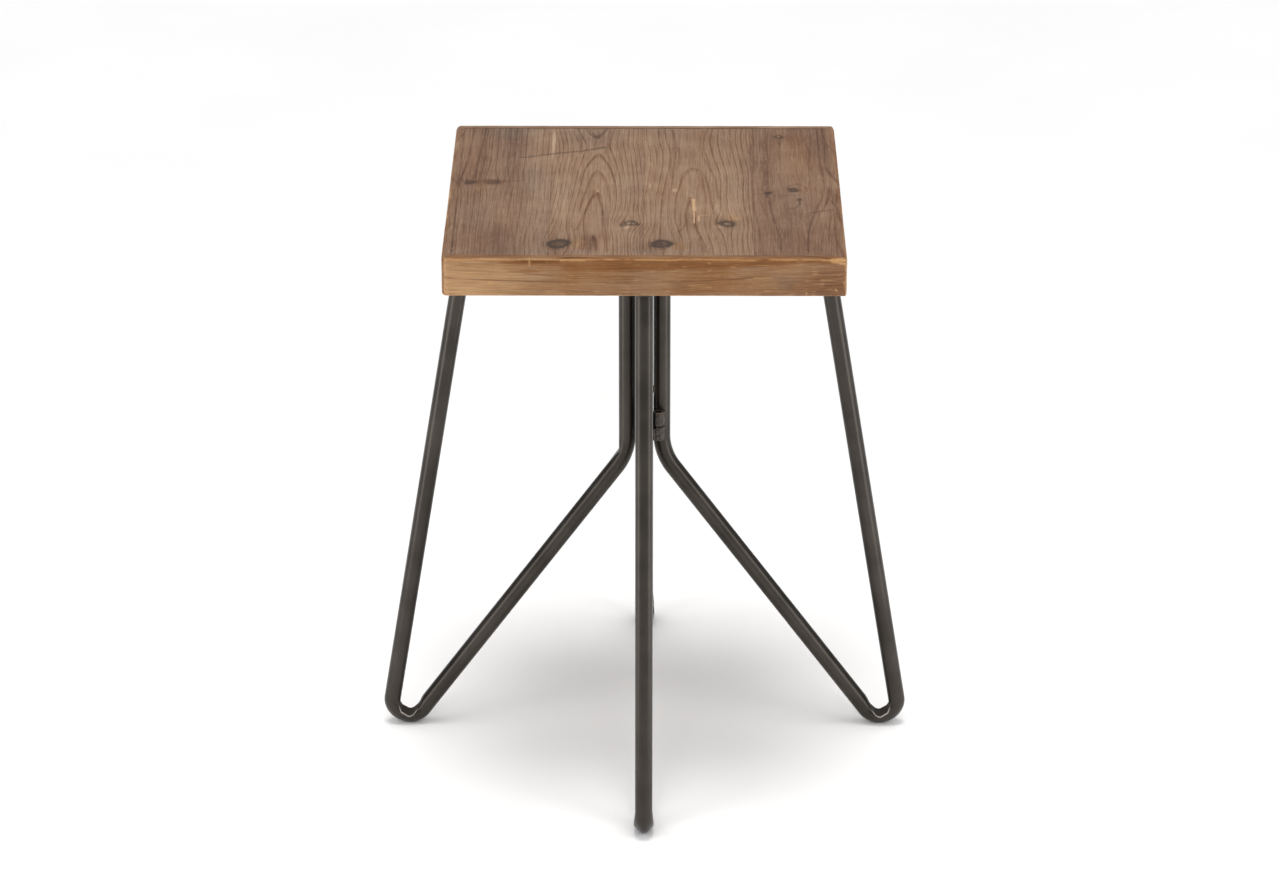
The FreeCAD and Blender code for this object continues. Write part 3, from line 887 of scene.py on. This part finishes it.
def leg_line():
    """Centre line of a leg as (distance from the middle, height) points.

    Also gives, for the foot and for the knee, how far each point is round the bend and the bend's angle.
    """
    foot = np.array([tube_high[0] - tube_radius - foot_bend, tube_radius + foot_bend])
    arm_end = np.array([arm_radius, strap_low[2]])
    knee = np.array([column_radius, knee_height])
    column_end = np.array([column_radius, strap_low[2]])
    foot_out, angle_out = tangent_point(foot, foot_bend, arm_end, -1)
    foot_in, angle_in = tangent_point(foot, foot_bend, knee, 1)
    foot_angles = np.linspace(angle_out, angle_in - 2 * np.pi, foot_points)[1:-1, None]
    foot_arc = foot + foot_bend * np.concatenate([np.cos(foot_angles), np.sin(foot_angles)], 1)
    diagonal = (knee - foot_in) / np.hypot(*(knee - foot_in))
    knee_angle = np.arccos(diagonal[1])
    run = knee_bend * np.tan(knee_angle / 2)
    knee_low, knee_high = knee - diagonal * run, knee + np.array([0, run])
    knee_centre = knee_high + np.array([knee_bend, 0])
    knee_angles = np.linspace(knee_angle - np.pi, -np.pi, knee_points)[1:-1, None]
    knee_arc = knee_centre + knee_bend * np.concatenate([np.cos(knee_angles), np.sin(knee_angles)], 1)
    straight = np.linspace(0, 1, run_points)[:, None]
    quickening = straight ** 2
    runs = [arm_end + (foot_out - arm_end) * straight, foot_arc,
            foot_in + (knee_low - foot_in) * quickening, knee_arc,
            knee_high + (column_end - knee_high) * straight]
    foot_shares = np.linspace(0, 1, foot_points)[1:-1]
    knee_shares = np.linspace(0, 1, knee_points)[1:-1]
    whole = np.ones(run_points)
    foot_turn = np.concatenate([0 * whole, foot_shares, whole, 0 * knee_shares + 1, whole])
    knee_turn = np.concatenate([0 * whole, 0 * foot_shares, 0 * whole, knee_shares, whole])
    return np.concatenate(runs), foot_turn, knee_turn, (angle_out - angle_in + 2 * np.pi, knee_angle)


def fold_offset(turn, angle, bend, facets=(), end_press=0):
    """Distance from the centre line to the inside of a bend that is folded along straight lines.

    The two inner walls run on straight past the bend's ends, the last one pressed in, and facets cut across
    between them. A line that is p from the bend's centre and faces it from the angle f is p / cos(a - f)
    away at the angle a, and the nearest line counts.
    """
    inner = bend - tube_radius
    lines = ((0, inner), (angle, inner + end_press), *facets)
    reach = [distance / np.maximum(np.cos(turn * angle - facing), 0.05) for facing, distance in lines]
    return bend - np.min(reach, axis=0)


def leg(name, bearing):
    """A bent tube: a circle carried along the centre line, its inside cut flat where a bend is folded.

    Round the foot the circle becomes |side| ** p + |depth| ** p = 1, with p below 2 on the outer half, which
    is a keel, and above 2 on the inner half, which is boxy. The diagonal leaves the foot pressed in.
    """
    line, foot_turn, knee_turn, (foot_angle, knee_angle) = leg_line()
    heading = np.gradient(line, axis=0)
    heading /= np.linalg.norm(heading, axis=1, keepdims=True)
    inward = np.stack([heading[:, 1], -heading[:, 0]], -1)
    facets = [(share * foot_angle, distance) for share, distance in foot_facets]
    run = np.concatenate([[0], np.cumsum(np.hypot(*np.diff(line, axis=0).T))])
    past = run - run[np.argmax(foot_turn == 1)]
    limit = fold_offset(foot_turn, foot_angle, foot_bend, facets, foot_press)
    limit += foot_press * ease(0, foot_press_run, past)
    if name in sharp_knees:
        limit = np.minimum(limit, fold_offset(knee_turn, knee_angle, knee_bend))
    limit = limit[:, None]
    press = 1 - limit / tube_radius
    around = circle(tube_points)[None, :]
    inner, beside = np.cos(around), np.sin(around)
    swell = np.sin(np.pi * foot_turn)[:, None]
    power = 1 - fold_keel_share * swell * np.sign(inner)
    depth = tube_radius * np.sign(inner) * np.abs(inner) ** power
    # A soft minimum of the depth and the fold's limit
    soft = fold_lip * np.clip(4 * press, 0.03, 1)
    normal = -soft * np.logaddexp(-depth / soft, -limit / soft)
    side = tube_radius * np.sign(beside) * np.abs(beside) ** power * (1 + fold_widening_share * swell)
    # Painted highlight: a pale line where the fold's flat meets the round, only round the foot's bend
    wear_and_painted_glint = bell(depth - limit, fold_lip) * ease(0.1, 0.4, press) * swell
    # Painted shade: darker paint on the flat inside of a fold, below the knee only
    folded = ease(0, fold_lip, depth - limit) * ease(0.01, 0.08, press)
    folded *= knee_turn[:, None] == 0
    radius = line[:, :1] + normal * inward[:, :1]
    height = np.clip(line[:, 1:] + normal * inward[:, 1:], cad_low[2], strap_low[2])
    loops = turned(np.stack([radius, side, height], -1), bearing)
    # Painted highlight on the fold's lip and painted shade inside the fold, for the paint
    fields = {"wear_and_painted_glint": wear_and_painted_glint, "folded": folded}
    skin(f"leg_{name}", loops, bronze, [f"leg_tube_{name}"], fields, crease=60)


def weld_bead(name, foot, length, radius, finish):
    """An upright weld: circles that swell at each ripple and close in at both ends."""
    share = np.linspace(0, 1, bead_rings)[:, None]
    around = circle(bead_points)[None, :]
    ripple = 1 + weld_ripple_share * np.abs(np.sin(np.pi * share * length / weld_ripple))
    swell = radius * ripple * np.sqrt(1.02 - (2 * share - 1) ** 6)
    height = foot[2] + share * length + 0 * around
    loops = np.stack([foot[0] + swell * np.cos(around), foot[1] + swell * np.sin(around), height], -1)
    skin(name, loops, finish)


def weld_ring(name, place, bearing):
    """A weld round a tube's upper end: a small circle carried round the tube, swelling at each ripple."""
    turn = circle(tube_points)[:, None]
    around = circle(ring_weld_points)[None, :]
    swell = ring_weld_radius * (1 + weld_ripple_share * np.abs(np.sin(turn * ring_weld_ripples / 2)))
    reach = tube_radius + swell * np.cos(around)
    height = strap_low[2] + np.minimum(swell * np.sin(around), ring_weld_rise)
    loops = np.stack([place + reach * np.cos(turn), reach * np.sin(turn), height], -1)
    skin(name, turned(loops, bearing), bronze, endless=True)


for number, heart in enumerate(board_hearts, 1):
    board(number, heart)
for side, bearing in bearings.items():
    edging(side, bearing)
    leg(side, bearing)
    weld_ring(f"column_weld_{side}", column_radius, bearing)
    weld_ring(f"arm_weld_{side}", arm_radius, bearing)
for corner, turn in (("front_right", 1), ("back_left", -1)):
    for barrel, (along, across) in tie_weld_places.items():
        low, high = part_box(f"tie_{corner}_{barrel}_barrel")
        margin = tie_weld_margin * (high[2] - low[2])
        length = high[2] - low[2] - 2 * margin
        foot = (turn * along * column_radius, turn * across * column_radius, low[2] + margin)
        weld_bead(f"tie_weld_{corner}_{barrel}", foot, length, tie_weld_radius, weld_metal)
    tack = (turn * tube_radius, -turn * column_radius, tack_weld_height)
    weld_bead(f"tack_weld_{corner}", tack, tack_weld_length, tack_weld_radius, bronze)

for name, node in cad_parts.items():
    if name.startswith("leg_strap"):
        finish = bronze
    elif name.endswith("barrel"):
        finish = weld_metal
    elif name.endswith("pin") or name == "strap_screws":
        finish = zinc
    elif name == "top_core_board":
        finish = core_pine
    else:
        continue
    node.data.materials.clear()
    node.data.materials.append(finish)


def floor_finish():
    """A matt white floor."""
    finish = Finish("white_floor")
    shade = finish.noise(3, detail=2)
    finish.set(Base_Color=finish.blend(shade.ramp(0.3, 0.7), tint(253, 253, 253), tint(255, 255, 255)))
    finish.set(Roughness=1.0, Specular_IOR_Level=0.0)
    return finish.material


def lay_floor():
    """A wide floor under the table."""
    corners = [(floor_reach * x, floor_reach * y, 0) for x, y in ((-1, -1), (1, -1), (1, 1), (-1, 1))]
    mesh = bpy.data.meshes.new("floor")
    mesh.from_pydata(corners, [], [(0, 1, 2, 3)])
    mesh.materials.append(floor_finish())
    floor = add_object("floor", mesh)


def soft_box(name, place, size, power, tilt):
    """A rectangular lamp at a place, turned by a tilt about X, Y and Z."""
    lamp = bpy.data.lights.new(name, "AREA")
    lamp.shape = "RECTANGLE"
    lamp.size, lamp.size_y = size
    lamp.energy = power
    holder = add_object(name, lamp)
    holder.location = place
    holder.rotation_euler = [radians(angle) for angle in tilt]
    holder.visible_camera = False


def light_room():
    """A white surround, brighter overhead, a soft sun, a tall lamp on each side and a wide one in front."""
    world = bpy.data.worlds.new("surround")
    surround = ShaderTree(world)
    direction = surround.node("ShaderNodeTexCoord", output="Generated")
    rise = surround.node("ShaderNodeSeparateXYZ", {}, {0: direction}, output="Z")
    background = surround.nodes["Background"]
    surround.feed(background.inputs["Color"], (1, 1, 1, 1))
    surround.feed(background.inputs["Strength"], rise.ramp(*surround_rise, low_surround, high_surround))
    bpy.context.scene.world = world
    sun = bpy.data.lights.new("soft_sun", "SUN")
    sun.energy = sun_strength
    sun.angle = sun_spread
    add_object("soft_sun", sun).rotation_euler = (sun_tilt, 0, 0)
    for name, side in (("left_lamp", -1), ("right_lamp", 1)):
        soft_box(name, (0.9 * side, -0.46, 0.5), (1, 0.32), 3.2, (0, 90 * side, -27 * side))
    soft_box("front_lamp", (0, -3.2, 2.7), (2.2, 1), 26, (58, 0, 0))


def set_camera():
    """The photograph's camera."""
    lens = bpy.data.cameras.new("camera")
    lens.sensor_width = sensor_width
    lens.lens = sensor_width * focal_pixels / image_width
    camera = add_object("camera", lens)
    camera.location = camera_place
    camera.rotation_euler = (radians(90) - camera_pitch, 0, -camera_yaw)
    bpy.context.scene.camera = camera
    bpy.context.scene.view_settings.view_transform = "Standard"


lay_floor()
light_room()
set_camera()
